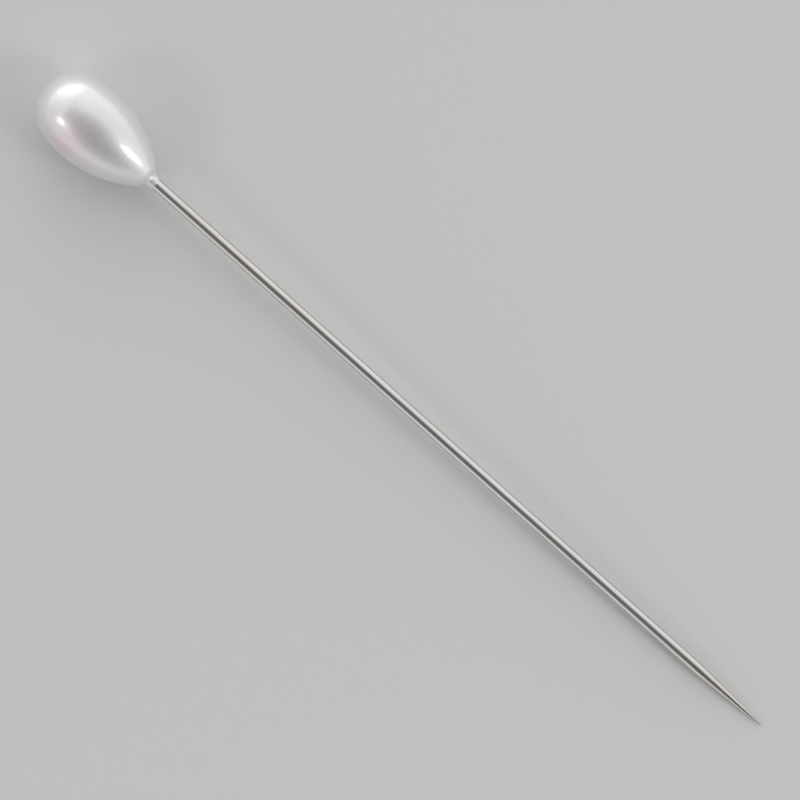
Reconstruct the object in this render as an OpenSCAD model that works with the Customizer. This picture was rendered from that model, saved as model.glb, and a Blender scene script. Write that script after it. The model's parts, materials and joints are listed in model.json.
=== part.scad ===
// Straight pin with a teardrop pearl head, in millimetres with +Z up.
// The pin lies on the plane Z = 0. The head is at -X and the point at +X,
// and the origin is on that plane, under the middle of the pin's length.
// The two pieces are the moulded head and the wire that is fixed in it.

/* [Wire] */
// Length of the whole pin, from the top of the head to the tip
pin_length = 55; // [35:1:80]
// Diameter of the wire
wire_diameter = 0.7; // [0.5:0.05:0.9]
// Length of the ground point
point_length = 5; // [2:0.5:12]
// Diameter that is left at the very tip
tip_diameter = 0.06; // [0.02:0.01:0.2]
// Form of the point: 1 is a plain cone, and a smaller value is fuller
point_form = 0.8; // [0.5:0.05:1]
// How much thinner the wire is at its blunt end, so that it wedges in the head
root_taper = 0.06; // [0.02:0.01:0.12]
// Bevel round the blunt end of the wire inside the head
blunt_bevel = 0.08; // [0.02:0.01:0.15]

/* [Head] */
// Length of the head, from its round top to its nose
head_length = 8; // [6:0.5:12]
// Diameter of the head where it is widest
head_diameter = 4.8; // [3:0.1:6]
// Radius of the round top, as a share of half the widest diameter
top_roundness = 0.97; // [0.85:0.01:0.99]
// Radius of the nose, where the wire goes in
nose_radius = 1.15; // [0.8:0.05:1.4]
// Plastic that is left between the end of the wire and the top of the head
top_wall = 2; // [1:0.5:3]
// Gap all round the wire in its socket, filled by the glue
socket_clearance = 0.01; // [0.005:0.005:0.03]

/* [Lip] */
// Length that the pearl coat runs out along the wire past the nose
lip_length = 0.3; // [0.1:0.05:1]
// Thickness of the coat on the wire, at the root of the lip
lip_thickness = 0.06; // [0.03:0.01:0.1]
// Radius of the hollow curve between the nose and the lip
lip_fillet = 0.35; // [0.1:0.05:0.5]

/* [Hidden] */

// Largest turn between two neighbouring points of an arc, in degrees
arc_step = 3;
// Rings along the ground point
point_rings = 12;
// How far a cutter runs past the face that it cuts
cut_past = 1;
// Share of its root thickness that the lip keeps at its end
lip_end_share = 0.35;

// Every outline is a list of [radius, distance from the top of the head]
wire_radius = wire_diameter / 2;
tip_radius = tip_diameter / 2;
root_radius = wire_radius - root_taper / 2;
mouth_radius = wire_radius + socket_clearance;
head_radius = head_diameter / 2;
top_radius = head_radius * top_roundness;

// The head's outline is three arcs that run into each other: the top, a
// long flank and the nose. The flank's centre lies flank_offset past the
// axis, on the other side, and level with the widest ring.
top_spare = head_radius - top_radius;
nose_spare = head_radius - nose_radius;
centre_span = head_length - top_radius - nose_radius;
spare_ratio = nose_spare / top_spare - 1;
flank_root = pow(centre_span, 2) - spare_ratio
    * (nose_spare * (nose_spare - top_spare) - pow(centre_span, 2));
flank_rise = (sqrt(flank_root) - centre_span) / spare_ratio;
flank_offset = (pow(flank_rise, 2) - pow(top_spare, 2)) / (2 * top_spare);
flank_radius = head_radius + flank_offset;
widest_at = top_radius + flank_rise;
nose_centre = head_length - nose_radius;

// Turn of the outline's outward normal where the arcs meet, measured from
// the axis towards the top
top_meets_flank = atan2(flank_offset, -flank_rise);
flank_meets_nose = atan2(flank_offset, nose_centre - widest_at);

// Points of an arc, from one turn of its normal to another
function arc(centre_r, centre_s, radius, from, to) =
    let (steps = ceil(abs(to - from) / arc_step))
    [
        for (i = [0 : steps])
            let (turn = from + (to - from) * i / steps)
            [centre_r + radius * sin(turn), centre_s + radius * cos(turn)]
    ];

// A list without its first point, which the list before it already has
function rest_of(points) = [for (i = [1 : len(points) - 1]) points[i]];

head_outline = concat(
    [[0, 0]],
    rest_of(arc(0, top_radius, top_radius, 180, top_meets_flank)),
    rest_of(arc(-flank_offset, widest_at, flank_radius, top_meets_flank, flank_meets_nose)),
    rest_of(arc(0, nose_centre, nose_radius, flank_meets_nose, 0))
);

// The lip's hollow curve touches the nose and ends along the wire
lip_radius = wire_radius + lip_thickness;
lip_end_radius = mouth_radius + lip_thickness * lip_end_share;
hollow_centre_r = lip_radius + lip_fillet;
hollow_reach = nose_radius + lip_fillet;
hollow_turn = asin(hollow_centre_r / hollow_reach);
hollow_centre_s = nose_centre + hollow_reach * cos(hollow_turn);
lip_end = hollow_centre_s + lip_length;

lip_outline = concat(
    [[0, nose_centre]],
    arc(hollow_centre_r, hollow_centre_s, lip_fillet, hollow_turn + 180, 270),
    [[lip_end_radius, lip_end], [0, lip_end]]
);

// The socket follows the wire's root, from its blunt end to the lip
socket_outline = [
    [0, top_wall],
    [root_radius + socket_clearance, top_wall],
    [mouth_radius, lip_end],
    [mouth_radius, lip_end + cut_past],
    [0, lip_end + cut_past]
];

// The wire's outline: the root in the head, the plain wire and the ground point
point_start = pin_length - point_length;
wire_outline = concat(
    [
        [0, top_wall],
        [root_radius - blunt_bevel, top_wall],
        [root_radius, top_wall + blunt_bevel],
        [wire_radius, lip_end]
    ],
    [
        for (i = [0 : point_rings])
            let (left = 1 - i / point_rings)
            [
                tip_radius + (wire_radius - tip_radius) * pow(left, point_form),
                pin_length - point_length * left
            ]
    ],
    [[0, pin_length]]
);

// Slope of the line that touches the head's flank and one ring of the wire
function touching_slope(ring) =
    let (
        along = ring[1] - widest_at,
        across = flank_offset + ring[0]
    )
    asin(flank_radius / norm([along, across])) - atan2(across, along);

// The pin comes to rest on its flank and on the first ring to touch down
rest_tilt = min([for (ring = wire_outline) if (ring[1] >= point_start) touching_slope(ring)]);

// Place of the middle of the head's top, with the pin laid down
widest_height = flank_radius - flank_offset * cos(rest_tilt);
top_height = widest_height + widest_at * sin(rest_tilt);
rear_reach = top_radius * (cos(rest_tilt) - 1);
front_reach = pin_length * cos(rest_tilt) + tip_radius * sin(rest_tilt);
top_place = -(rear_reach + front_reach) / 2;

// Lays down what is modelled upright, with its top at the origin
module lay_down() {
    translate([top_place, 0, top_height])
        rotate([0, 90 + rest_tilt, 0])
            children();
}

// Solid that an outline makes when it is turned round the pin's axis
module turned(outline) {
    rotate_extrude($fn = 96)
        polygon(outline);
}

// Teardrop head, with the lip of its coat and the blind socket for the wire
module pearl_head() {
    color([0.93, 0.92, 0.91])
        lay_down()
            difference() {
                union() {
                    turned(head_outline);
                    turned(lip_outline);
                }
                turned(socket_outline);
            }
}

// Plated steel wire, blunt in the head and ground to a point at the other end
module pin_shaft() {
    color([0.68, 0.66, 0.64])
        lay_down()
            turned(wire_outline);
}

pearl_head();
pin_shaft();
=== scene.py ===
# Looks of a straight pin with a teardrop pearl head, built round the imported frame.
# The dictionaries are in millimetres and degrees, and a noise's scale is in patches per millimetre.
import json
import math

import bpy
import numpy as np
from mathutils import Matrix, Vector


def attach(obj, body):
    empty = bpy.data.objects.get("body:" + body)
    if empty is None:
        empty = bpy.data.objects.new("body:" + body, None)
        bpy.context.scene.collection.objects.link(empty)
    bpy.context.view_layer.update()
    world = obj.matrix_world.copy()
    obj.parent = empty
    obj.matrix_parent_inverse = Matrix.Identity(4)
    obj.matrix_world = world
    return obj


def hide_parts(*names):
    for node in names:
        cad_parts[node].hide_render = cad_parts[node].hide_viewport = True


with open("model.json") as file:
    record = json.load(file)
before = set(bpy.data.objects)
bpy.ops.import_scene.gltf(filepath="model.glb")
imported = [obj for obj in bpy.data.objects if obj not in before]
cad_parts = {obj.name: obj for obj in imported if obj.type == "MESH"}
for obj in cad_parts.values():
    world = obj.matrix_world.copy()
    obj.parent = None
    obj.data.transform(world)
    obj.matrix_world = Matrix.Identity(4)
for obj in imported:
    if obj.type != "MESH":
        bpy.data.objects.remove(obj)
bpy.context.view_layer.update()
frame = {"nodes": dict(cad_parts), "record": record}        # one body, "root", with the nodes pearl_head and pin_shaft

mm = 0.001
print("frame:", ", ".join(sorted(frame["nodes"])))

scene = bpy.context.scene
scene.view_settings.view_transform = "Standard"

# Distances along the pin start at the round top of its head
wire = {
    "pinLength": 55.0,
    "diameter": 0.7,
    "pointLength": 5.0,      # ground point
    "tipDiameter": 0.06,
    "pointForm": 0.8,        # 1 is a plain cone, less is fuller
    "rootStart": 2.0,        # blunt end inside the head
    "rootTaper": 0.06,
    "rootBevel": 0.08,
    "grindDepth": 0.0022,    # rings that the stone leaves on the point
    "grindPitches": (0.083, 0.131, 0.212, 0.37),
    "sides": 96,
    "rings": {"blunt": 3, "bevel": 4, "root": 12, "plain": 160, "point": 260, "tip": 6},
}

head = {
    "length": 8.0,
    "diameter": 4.8,
    "topRoundness": 0.97,    # radius of the round top, as a share of half the diameter
    "noseRadius": 1.15,
    "socketGap": 0.01,
    "lipLength": 0.3,
    "lipThickness": 0.06,
    "lipFillet": 0.35,
    "lipEndShare": 0.35,     # how much of its thickness the lip keeps
    "lipFeather": 0.02,      # last stretch of the lip, where the coat runs out
    "lipWander": 0.1,        # how unevenly the coat ends on the wire
    "lipWaves": [            # share, times round the wire, phase in radians
        (0.6, 2, 0.7),
        (0.3, 3, 2.1),
        (0.25, 7, 0.0),
    ],
    "waveDepth": 0.008,      # slow unevenness of the dipped coat
    "waveCount": 16,
    "waveShortest": 1.6,
    "waveLongest": 4.5,
    "waveSeed": 11,
    "wavePower": 1.5,        # how soon the waves fade towards the pin's own line
    "waveRunOut": 1.8,       # they fade out over this length before the nose
    "sides": 192,
    "rings": {
        "top": 50, "flank": 90, "nose": 14, "hollow": 16,
        "lip": 12, "feather": 4, "socket": 16, "floor": 3,
    },
}


# The head's outline is two arcs and a long flank that touches both of them.
# The flank's centre lies past the pin's line, on the other side, and level with the widest ring.
def headArcs():
    half = head["diameter"] / 2
    topRadius = half * head["topRoundness"]
    topSpare = half - topRadius
    noseSpare = half - head["noseRadius"]
    span = head["length"] - topRadius - head["noseRadius"]
    spareRatio = noseSpare / topSpare - 1
    root = span**2 - spareRatio * (noseSpare * (noseSpare - topSpare) - span**2)
    rise = (math.sqrt(root) - span) / spareRatio
    offset = (rise**2 - topSpare**2) / (2 * topSpare)
    widestAt = topRadius + rise
    noseCentre = head["length"] - head["noseRadius"]
    return {
        "topRadius": topRadius,
        "flankOffset": offset,
        "flankRadius": half + offset,
        "widestAt": widestAt,
        "noseCentre": noseCentre,
        "topMeetsFlank": math.atan2(offset, -rise),
        "flankMeetsNose": math.atan2(offset, noseCentre - widestAt),
    }


# Both pieces take their outline from these: the wire leaves the head where the lip ends
arcs = headArcs()
wireRadius = wire["diameter"] / 2
mouthRadius = wireRadius + head["socketGap"]
hollowReach = head["noseRadius"] + head["lipFillet"]
hollowCentreR = wireRadius + head["lipThickness"] + head["lipFillet"]
hollowTurn = math.asin(hollowCentreR / hollowReach)
hollowCentreS = arcs["noseCentre"] + hollowReach * math.cos(hollowTurn)
lipEnd = hollowCentreS + head["lipLength"]
pointStart = wire["pinLength"] - wire["pointLength"]

# The mount is the middle of the plain wire, so it gives the pin's line
mount = next(m for m in frame["record"]["mounts"] if m["name"] == "shaft")
alongPin = np.array(mount["axis"])
acrossPin = np.array([0.0, 1.0, 0.0])
upPin = np.cross(alongPin, acrossPin)
headTop = np.array(mount["pos_m"]) - mm * alongPin * (lipEnd + pointStart) / 2


# place = head top + along x the pin's line + radius x (cos turn x across + sin turn x up)
def placeOnPin(along, radius, turn):
    across = np.multiply.outer(radius * np.cos(turn), acrossPin)
    up = np.multiply.outer(radius * np.sin(turn), upPin)
    return headTop + mm * (np.multiply.outer(along, alongPin) + across + up)


# An arc of the outline: radius = centre + r x sin turn, along = centre + r x cos turn
def arcOf(centreR, centreS, radius, start, end, count):
    turn = np.linspace(start, end, count)
    return np.stack([centreR + radius * np.sin(turn), centreS + radius * np.cos(turn)], axis=1)


# A straight stretch of the outline: start x (1 - share) + end x share
def lineOf(start, end, count):
    share = np.linspace(0, 1, count)[:, None]
    return np.array(start) * (1 - share) + np.array(end) * share


# Joins stretches of outline, each without the point that it shares with the one before
def joinOutline(*stretches):
    return np.concatenate([stretches[0], *[stretch[1:] for stretch in stretches[1:]]])


# A closed turned skin from a grid of rings x sides, whose first and last rings are single points
def closedSkin(name, grid, material):
    rings, sides = grid.shape[:2]
    inner = grid[1:-1].reshape(-1, 3)
    points = np.concatenate([grid[:1, 0], inner, grid[-1:, 0]])
    side = np.arange(sides)
    following = (side + 1) % sides
    near = 1 + sides * np.arange(rings - 3)[:, None]
    far = near + sides
    quads = np.stack([near + side, near + following, far + following, far + side], axis=-1).reshape(-1, 4)
    last = len(points) - 1
    lastRing = last - sides
    firstFan = np.stack([np.zeros_like(side), 1 + following, 1 + side], axis=1)
    lastFan = np.stack([np.full_like(side, last), lastRing + side, lastRing + following], axis=1)
    mesh = bpy.data.meshes.new(name)
    mesh.from_pydata(points.tolist(), [], firstFan.tolist() + quads.tolist() + lastFan.tolist())
    mesh.polygons.foreach_set("use_smooth", np.ones(len(mesh.polygons), dtype=bool))
    mesh.materials.append(material)
    mesh.update()
    piece = bpy.data.objects.new(name, mesh)
    scene.collection.objects.link(piece)
    return piece


# A new material, with its nodes, a way to link them and its surface shader
def newMaterial(name):
    material = bpy.data.materials.new(name)
    material.use_nodes = True
    nodes = material.node_tree.nodes
    return material, nodes, material.node_tree.links.new, nodes["Principled BSDF"]


# Noise on coordinates turned onto the pin's line, and drawn out along it by the stretch
def pinNoise(nodes, link, scale, stretch, detail, roughness, offset):
    coords = nodes.new("ShaderNodeTexCoord")
    mapping = nodes.new("ShaderNodeMapping")
    mapping.vector_type = "TEXTURE"
    mapping.inputs["Location"].default_value = (offset * mm, offset * mm, offset * mm)
    mapping.inputs["Rotation"].default_value = (0, math.asin(-alongPin[2]), 0)
    mapping.inputs["Scale"].default_value = (stretch, 1, 1)
    noise = nodes.new("ShaderNodeTexNoise")
    noise.inputs["Scale"].default_value = scale / mm
    noise.inputs["Detail"].default_value = detail
    noise.inputs["Roughness"].default_value = roughness
    link(coords.outputs["Object"], mapping.inputs["Vector"])
    link(mapping.outputs["Vector"], noise.inputs["Vector"])
    return noise.outputs["Fac"]


# Turns a 0 to 1 value into colours at the given stops
def rampOf(nodes, link, value, stops):
    ramp = nodes.new("ShaderNodeValToRGB")
    ramp.color_ramp.interpolation = "EASE"
    elements = ramp.color_ramp.elements
    while len(elements) < len(stops):
        elements.new(0.5)
    for element, (place, color) in zip(elements, stops):
        element.position = place
        element.color = (*color, 1)
    link(value, ramp.inputs["Fac"])
    return ramp.outputs["Color"]


# Carries a value over from one range to another
def rangeOf(nodes, link, value, source, target, clamp=True):
    mapRange = nodes.new("ShaderNodeMapRange")
    mapRange.clamp = clamp
    mapRange.inputs["From Min"].default_value, mapRange.inputs["From Max"].default_value = source
    mapRange.inputs["To Min"].default_value, mapRange.inputs["To Max"].default_value = target
    link(value, mapRange.inputs["Value"])
    return mapRange.outputs["Result"]


# value x factor + addend, where the factor is a plain number
def scaledSum(nodes, link, value, factor, addend):
    scaled = nodes.new("ShaderNodeMath")
    scaled.operation = "MULTIPLY_ADD"
    link(value, scaled.inputs[0])
    scaled.inputs[1].default_value = factor
    link(addend, scaled.inputs[2])
    return scaled.outputs["Value"]


# How far a vector agrees with a given direction: their dot product
def agreement(nodes, link, vector, given):
    dot = nodes.new("ShaderNodeVectorMath")
    dot.operation = "DOT_PRODUCT"
    dot.inputs[1].default_value = given
    link(vector, dot.inputs[0])
    return dot.outputs["Value"]


# Surface normal for a relief whose height value runs from 0 to 1
def reliefOf(nodes, link, value, depth):
    bump = nodes.new("ShaderNodeBump")
    bump.inputs["Strength"].default_value = 1.0
    bump.inputs["Distance"].default_value = depth * mm
    link(value, bump.inputs["Height"])
    return bump.outputs["Normal"]


noiseSpan = (0.3, 0.7)       # nearly all of a noise's values lie between these

pearl = {
    "clouds": {"scale": 0.24, "stretch": 1.8, "detail": 1.5, "roughness": 0.5, "offset": 0.0},
    "cloudShare": 0.5,       # how much the clouds break up the painted pink sheen
    "paintedSheenAlong": 3.2,       # middle of the painted pink sheen, counted from the top of the head
    "paintedSheenTurn": 140.0,      # and round the pin, from +Y over the upper side
    "paintedSheenReach": 4.2,       # from there to where the painted pink gives way to the pearl's own cool white
    # the pink stops are painted iridescent sheen, the cool white stops are the pearl's own colour
    "tints": [
        (0.0, (0.815, 0.69, 0.74)),
        (0.3, (0.82, 0.76, 0.783)),
        (0.6, (0.82, 0.812, 0.81)),
        (1.0, (0.80, 0.815, 0.81)),
    ],
    "flakes": {"scale": 9.0, "stretch": 1.0, "detail": 3.0, "roughness": 0.6, "offset": 13.0},
    "flakeShades": [(0.3, (0.94, 0.94, 0.94)), (0.7, (1, 1, 1))],
    "flakeRelief": 0.004,
    "metallic": 0.6,
    "roughness": (0.36, 0.46),
    "coatRoughness": 0.1,
    "coatIor": 1.75,
}


# White pearl coat: a faint painted pink sheen, a fixed tint standing in for the pearl's iridescent reflection, that
# turns to the pearl's own cool white under a clear gloss, with fine flakes.
# place in the tints = distance from the middle of the painted sheen / reach + share x (clouds - a half)
def pearlCoat():
    material, nodes, link, shader = newMaterial("pearlCoat")
    clouds = pinNoise(nodes, link, **pearl["clouds"])
    flakes = pinNoise(nodes, link, **pearl["flakes"])
    # middle of the painted pink sheen: fixed colour standing in for the pearl's iridescent reflection
    paintedSheenMiddle = placeOnPin(pearl["paintedSheenAlong"], head["diameter"] / 2, math.radians(pearl["paintedSheenTurn"]))
    coords = nodes.new("ShaderNodeTexCoord")
    distance = nodes.new("ShaderNodeVectorMath")
    distance.operation = "DISTANCE"
    link(coords.outputs["Object"], distance.inputs[0])
    distance.inputs[1].default_value = paintedSheenMiddle
    share = pearl["cloudShare"]
    reach = (0, pearl["paintedSheenReach"] * mm)
    faded = rangeOf(nodes, link, distance.outputs["Value"], reach, (-share / 2, 1 - share / 2), clamp=False)
    # tint = painted pink sheen near that middle, fading to the pearl's own cool white
    tint = rampOf(nodes, link, scaledSum(nodes, link, clouds, share, faded), pearl["tints"])
    mix = nodes.new("ShaderNodeMix")
    mix.data_type = "RGBA"
    mix.blend_type = "MULTIPLY"
    mix.inputs["Factor"].default_value = 1.0
    link(tint, mix.inputs["A"])
    link(rampOf(nodes, link, flakes, pearl["flakeShades"]), mix.inputs["B"])
    link(mix.outputs["Result"], shader.inputs["Base Color"])
    link(rangeOf(nodes, link, clouds, noiseSpan, pearl["roughness"]), shader.inputs["Roughness"])
    link(reliefOf(nodes, link, flakes, pearl["flakeRelief"]), shader.inputs["Normal"])
    shader.inputs["Metallic"].default_value = pearl["metallic"]
    shader.inputs["Coat Weight"].default_value = 1.0
    shader.inputs["Coat Roughness"].default_value = pearl["coatRoughness"]
    shader.inputs["Coat IOR"].default_value = pearl["coatIor"]
    return material


steel = {
    "clouds": {"scale": 0.42, "stretch": 3.0, "detail": 2.0, "roughness": 0.5, "offset": 21.0},
    "tints": [(0.35, (0.70, 0.672, 0.645)), (0.65, (0.71, 0.705, 0.70))],
    "drawLines": {"scale": 11.0, "stretch": 90.0, "detail": 3.0, "roughness": 0.6, "offset": 0.0},
    "grindRings": {"scale": 1.1, "stretch": 0.09, "detail": 3.0, "roughness": 0.7, "offset": 17.0},
    "changeOver": 1.0,       # the lines turn into rings over this length of the point
    "relief": 0.004,
    "roughness": (0.08, 0.19),
    "pointRoughness": 0.06,  # how much duller the ground point is
}


# Bright plated steel: long draw lines on the wire turn into rings on the ground point.
# share of the point = distance past its start / length of the change, held between 0 and 1
def platedSteel():
    material, nodes, link, shader = newMaterial("platedSteel")
    clouds = pinNoise(nodes, link, **steel["clouds"])
    drawLines = pinNoise(nodes, link, **steel["drawLines"])
    grindRings = pinNoise(nodes, link, **steel["grindRings"])
    coords = nodes.new("ShaderNodeTexCoord")
    along = agreement(nodes, link, coords.outputs["Object"], alongPin)
    start = float(np.dot(headTop, alongPin)) + pointStart * mm
    onPoint = rangeOf(nodes, link, along, (start, start + steel["changeOver"] * mm), (0, 1))
    finish = nodes.new("ShaderNodeMix")
    finish.data_type = "FLOAT"
    link(onPoint, finish.inputs["Factor"])
    link(drawLines, finish.inputs["A"])
    link(grindRings, finish.inputs["B"])
    rough = rangeOf(nodes, link, finish.outputs["Result"], noiseSpan, steel["roughness"])
    link(rampOf(nodes, link, clouds, steel["tints"]), shader.inputs["Base Color"])
    link(scaledSum(nodes, link, onPoint, steel["pointRoughness"], rough), shader.inputs["Roughness"])
    link(reliefOf(nodes, link, finish.outputs["Result"], steel["relief"]), shader.inputs["Normal"])
    shader.inputs["Metallic"].default_value = 1.0
    return material


# Outline of the head from its top, over the flank, nose and lip, and back down its socket.
# The number that comes with it counts the rings before the nose.
def headOutline():
    rings = head["rings"]
    lipRadius = wireRadius + head["lipThickness"]
    lipEndRadius = mouthRadius + head["lipThickness"] * head["lipEndShare"]
    featherStart = (lipEndRadius, lipEnd - head["lipFeather"])
    socketEnd = (wireRadius - wire["rootTaper"] / 2 + head["socketGap"], wire["rootStart"])
    top = arcOf(0, arcs["topRadius"], arcs["topRadius"], math.pi, arcs["topMeetsFlank"], rings["top"])
    flank = arcOf(
        -arcs["flankOffset"], arcs["widestAt"], arcs["flankRadius"],
        arcs["topMeetsFlank"], arcs["flankMeetsNose"], rings["flank"],
    )
    nose = arcOf(
        0, arcs["noseCentre"], head["noseRadius"],
        arcs["flankMeetsNose"], hollowTurn, rings["nose"],
    )
    hollow = arcOf(
        hollowCentreR, hollowCentreS, head["lipFillet"],
        hollowTurn + math.pi, 1.5 * math.pi, rings["hollow"],
    )
    lip = lineOf((lipRadius, hollowCentreS), featherStart, rings["lip"])
    feather = lineOf(featherStart, (mouthRadius, lipEnd), rings["feather"])
    socket = lineOf((mouthRadius, lipEnd), socketEnd, rings["socket"])
    floor = lineOf(socketEnd, (0, wire["rootStart"]), rings["floor"])
    return joinOutline(top, flank, nose, hollow, lip, feather, socket, floor), len(top) + len(flank)


# Slow unevenness of the coat: a sum of sine waves over the distance along and the arc round the head
def coatWaves(along, turn):
    random = np.random.default_rng(head["waveSeed"])
    waves = np.zeros(np.broadcast(along, turn).shape)
    for wave in range(head["waveCount"]):
        length = random.uniform(head["waveShortest"], head["waveLongest"])
        lean = random.uniform(0, math.pi)
        rounds = round(math.pi * head["diameter"] * math.sin(lean) / length)
        phase = random.uniform(0, 2 * math.pi)
        waves += np.sin(2 * math.pi * along * math.cos(lean) / length + rounds * turn + phase)
    return waves / math.sqrt(head["waveCount"])


# radius = outline + depth x fade x waves, along = outline - wander x (way along the lip) squared
def makeHead(material):
    outline, ringsBeforeNose = headOutline()
    turn = np.linspace(0, 2 * math.pi, head["sides"], endpoint=False)[None, :]
    radius = outline[:, :1] + 0 * turn
    along = outline[:, 1:] + 0 * turn
    # the waves fade out towards the top and the nose, and the socket has none
    outside = np.arange(len(outline))[:, None] < ringsBeforeNose
    noseStart = arcs["noseCentre"] + head["noseRadius"] * math.cos(arcs["flankMeetsNose"])
    runOut = np.clip((noseStart - along) / head["waveRunOut"], 0, 1)
    fade = np.clip(radius / (head["diameter"] / 2), 0, 1) ** head["wavePower"] * runOut**2 * (3 - 2 * runOut)
    radius = radius + head["waveDepth"] * fade * outside * coatWaves(along, turn)
    # the lip's end wanders along the wire as it goes round
    reach = np.clip((along - hollowCentreS) / head["lipLength"], 0, 1)
    wander = sum(share * np.sin(count * turn + phase) for share, count, phase in head["lipWaves"])
    along = along - head["lipWander"] * reach**2 * (0.5 + 0.5 * wander)
    piece = closedSkin("pearlHead", placeOnPin(along, radius, turn), material)
    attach(piece, "root")
    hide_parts("pearl_head")


# radius = tip + (wire - tip) x (share of the point that is left) ^ form
def pointRadius(along):
    left = np.clip((wire["pinLength"] - along) / wire["pointLength"], 0, 1)
    tipRadius = wire["tipDiameter"] / 2
    return tipRadius + (wireRadius - tipRadius) * left ** wire["pointForm"]


# Outline of the wire from its blunt end in the head to the rounded tip
def wireOutline():
    rings = wire["rings"]
    rootRadius = wireRadius - wire["rootTaper"] / 2
    tipRadius = wire["tipDiameter"] / 2
    tipCentre = wire["pinLength"] - tipRadius
    start = wire["rootStart"]
    blunt = lineOf((0, start), (rootRadius - wire["rootBevel"], start), rings["blunt"])
    bevel = lineOf(blunt[-1], (rootRadius, start + wire["rootBevel"]), rings["bevel"])
    root = lineOf(bevel[-1], (wireRadius, lipEnd), rings["root"])
    plain = lineOf(root[-1], (wireRadius, pointStart), rings["plain"])
    pointAlong = np.linspace(pointStart, tipCentre, rings["point"])
    point = np.stack([pointRadius(pointAlong), pointAlong], axis=1)
    tip = arcOf(0, tipCentre, tipRadius, math.pi / 2, 0, rings["tip"])
    return joinOutline(blunt, bevel, root, plain, point, tip)


# radius = outline + depth x mean of the sine waves of the grinding rings, which lean as they go round
def makeWire(material):
    outline = wireOutline()
    turn = np.linspace(0, 2 * math.pi, wire["sides"], endpoint=False)[None, :]
    radius = outline[:, :1] + 0 * turn
    along = outline[:, 1:] + 0 * turn
    share = np.clip((along - pointStart) / wire["pointLength"], 0, 1)
    depth = wire["grindDepth"] * np.sin(math.pi * np.sqrt(share)) ** 2
    pitches = wire["grindPitches"]
    waves = sum(np.sin(2 * math.pi * along / pitch + lean * turn) for lean, pitch in enumerate(pitches))
    radius = radius + depth * waves / len(pitches)
    piece = closedSkin("pinWire", placeOnPin(along, radius, turn), material)
    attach(piece, "root")
    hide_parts("pin_shaft")


makeHead(pearlCoat())
print("pearl head made")
makeWire(platedSteel())
print("wire made")


studio = {
    "cameraHeight": 400.0,
    "frameWidth": 46.0,      # what the picture's width shows
    "pictureTurn": 41.8,     # the point lies this far below the picture's level line
    "aimX": -0.45,
    "aimY": 0.1,
    "clipStart": 10.0,
    "lampDistance": 400.0,
    "floorReach": 900.0,
    "floorColor": (0.65, 0.65, 0.645),
    "floorRoughness": 0.7,
    "floorSpecular": 0.2,
}

turnOfPicture = math.radians(studio["pictureTurn"])
pictureRight = Vector((math.cos(turnOfPicture), math.sin(turnOfPicture), 0))
pictureUp = Vector((-math.sin(turnOfPicture), math.cos(turnOfPicture), 0))


# The camera looks straight down at the middle of the pin
def makeCamera():
    data = bpy.data.cameras.new("camera")
    data.lens = data.sensor_width * studio["cameraHeight"] / studio["frameWidth"]
    data.clip_start = studio["clipStart"] * mm
    camera = bpy.data.objects.new("camera", data)
    camera.location = (studio["aimX"] * mm, studio["aimY"] * mm, studio["cameraHeight"] * mm)
    camera.rotation_euler = (0, 0, turnOfPicture)
    scene.collection.objects.link(camera)
    scene.camera = camera


# Direction of an azimuth, counted from the picture's right-hand side towards its top, and an elevation
def towardsOf(azimuth, elevation):
    azimuth, elevation = math.radians(azimuth), math.radians(elevation)
    level = pictureRight * math.cos(azimuth) + pictureUp * math.sin(azimuth)
    return level * math.cos(elevation) + Vector((0, 0, math.sin(elevation)))


# Soft oval lamps, each turned to the pin
lamps = {
    "rightLamp": {"azimuth": -21, "elevation": 35, "width": 140, "height": 250, "radiance": 3.3},
    "topLamp": {"azimuth": 103, "elevation": 14, "width": 490, "height": 370, "radiance": 0.61},
    "leftLamp": {"azimuth": 200, "elevation": 38, "width": 90, "height": 100, "radiance": 5.0},
}


# power = radiance x pi x the oval's area
def makeLamp(name, lamp):
    towards = towardsOf(lamp["azimuth"], lamp["elevation"])
    data = bpy.data.lights.new(name, "AREA")
    data.shape = "ELLIPSE"
    data.size = lamp["width"] * mm
    data.size_y = lamp["height"] * mm
    data.energy = lamp["radiance"] * math.pi * math.pi / 4 * data.size * data.size_y
    oval = bpy.data.objects.new(name, data)
    oval.location = towards * studio["lampDistance"] * mm
    oval.rotation_mode = "QUATERNION"
    oval.rotation_quaternion = (-towards).to_track_quat("-Z", "Y")
    oval.visible_camera = False
    scene.collection.objects.link(oval)


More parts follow.
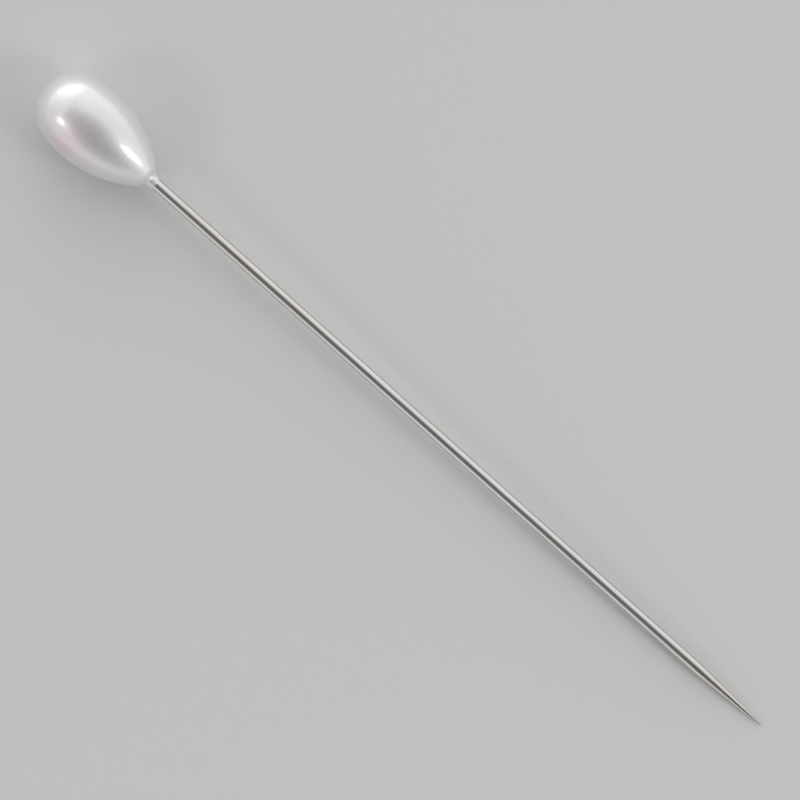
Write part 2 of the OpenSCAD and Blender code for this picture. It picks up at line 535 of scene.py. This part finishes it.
room = {
    "windowAzimuth": 112,    # the paler side of the room
    "farSide": 0.59,         # how light the opposite side is, as a share
    "walls": [               # light by height, from the level of the floor to straight up
        (0.0, (1.45, 1.44, 1.42)),
        (0.5, (1.07, 1.07, 1.065)),
        (1.0, (1.08, 1.08, 1.09)),
    ],
    "shades": {              # darker places, from their edge to their middle
        "hood": {"azimuth": -80, "elevation": 64, "stops": [(0.68, 1.0), (0.84, 0.32), (1.0, 0.16)]},
        "corner": {"azimuth": 186, "elevation": 16, "stops": [(0.76, 1.0), (0.96, 0.7)]},
    },
}


# The room: light = walls by height x share of the window's side x each shade
def makeWorld():
    world = bpy.data.worlds.new("room")
    world.use_nodes = True
    nodes = world.node_tree.nodes
    link = world.node_tree.links.new
    direction = nodes.new("ShaderNodeTexCoord").outputs["Generated"]
    walls = rampOf(nodes, link, agreement(nodes, link, direction, (0, 0, 1)), room["walls"])
    windowSide = agreement(nodes, link, direction, towardsOf(room["windowAzimuth"], 0))
    light = nodes.new("ShaderNodeVectorMath")
    light.operation = "SCALE"
    link(walls, light.inputs[0])
    link(rangeOf(nodes, link, windowSide, (-1, 1), (room["farSide"], 1)), light.inputs["Scale"])
    for shade in room["shades"].values():
        middle = towardsOf(shade["azimuth"], shade["elevation"])
        stops = [(place, (share, share, share)) for place, share in shade["stops"]]
        shaded = nodes.new("ShaderNodeVectorMath")
        shaded.operation = "MULTIPLY"
        link(light.outputs["Vector"], shaded.inputs[0])
        link(rampOf(nodes, link, agreement(nodes, link, direction, middle), stops), shaded.inputs[1])
        light = shaded
    link(light.outputs["Vector"], nodes["Background"].inputs["Color"])
    scene.world = world


# A flat square of plain paper under the pin
def makeFloor():
    material, *_, shader = newMaterial("floorPaper")
    shader.inputs["Base Color"].default_value = (*studio["floorColor"], 1)
    shader.inputs["Roughness"].default_value = studio["floorRoughness"]
    shader.inputs["Specular IOR Level"].default_value = studio["floorSpecular"]
    reach = studio["floorReach"] * mm
    corners = [(-reach, -reach, 0), (reach, -reach, 0), (reach, reach, 0), (-reach, reach, 0)]
    mesh = bpy.data.meshes.new("floor")
    mesh.from_pydata(corners, [], [(0, 1, 2, 3)])
    mesh.materials.append(material)
    floor = bpy.data.objects.new("floor", mesh)
    scene.collection.objects.link(floor)


makeCamera()
for name, lamp in lamps.items():
    makeLamp(name, lamp)
makeWorld()
makeFloor()
print("studio made")
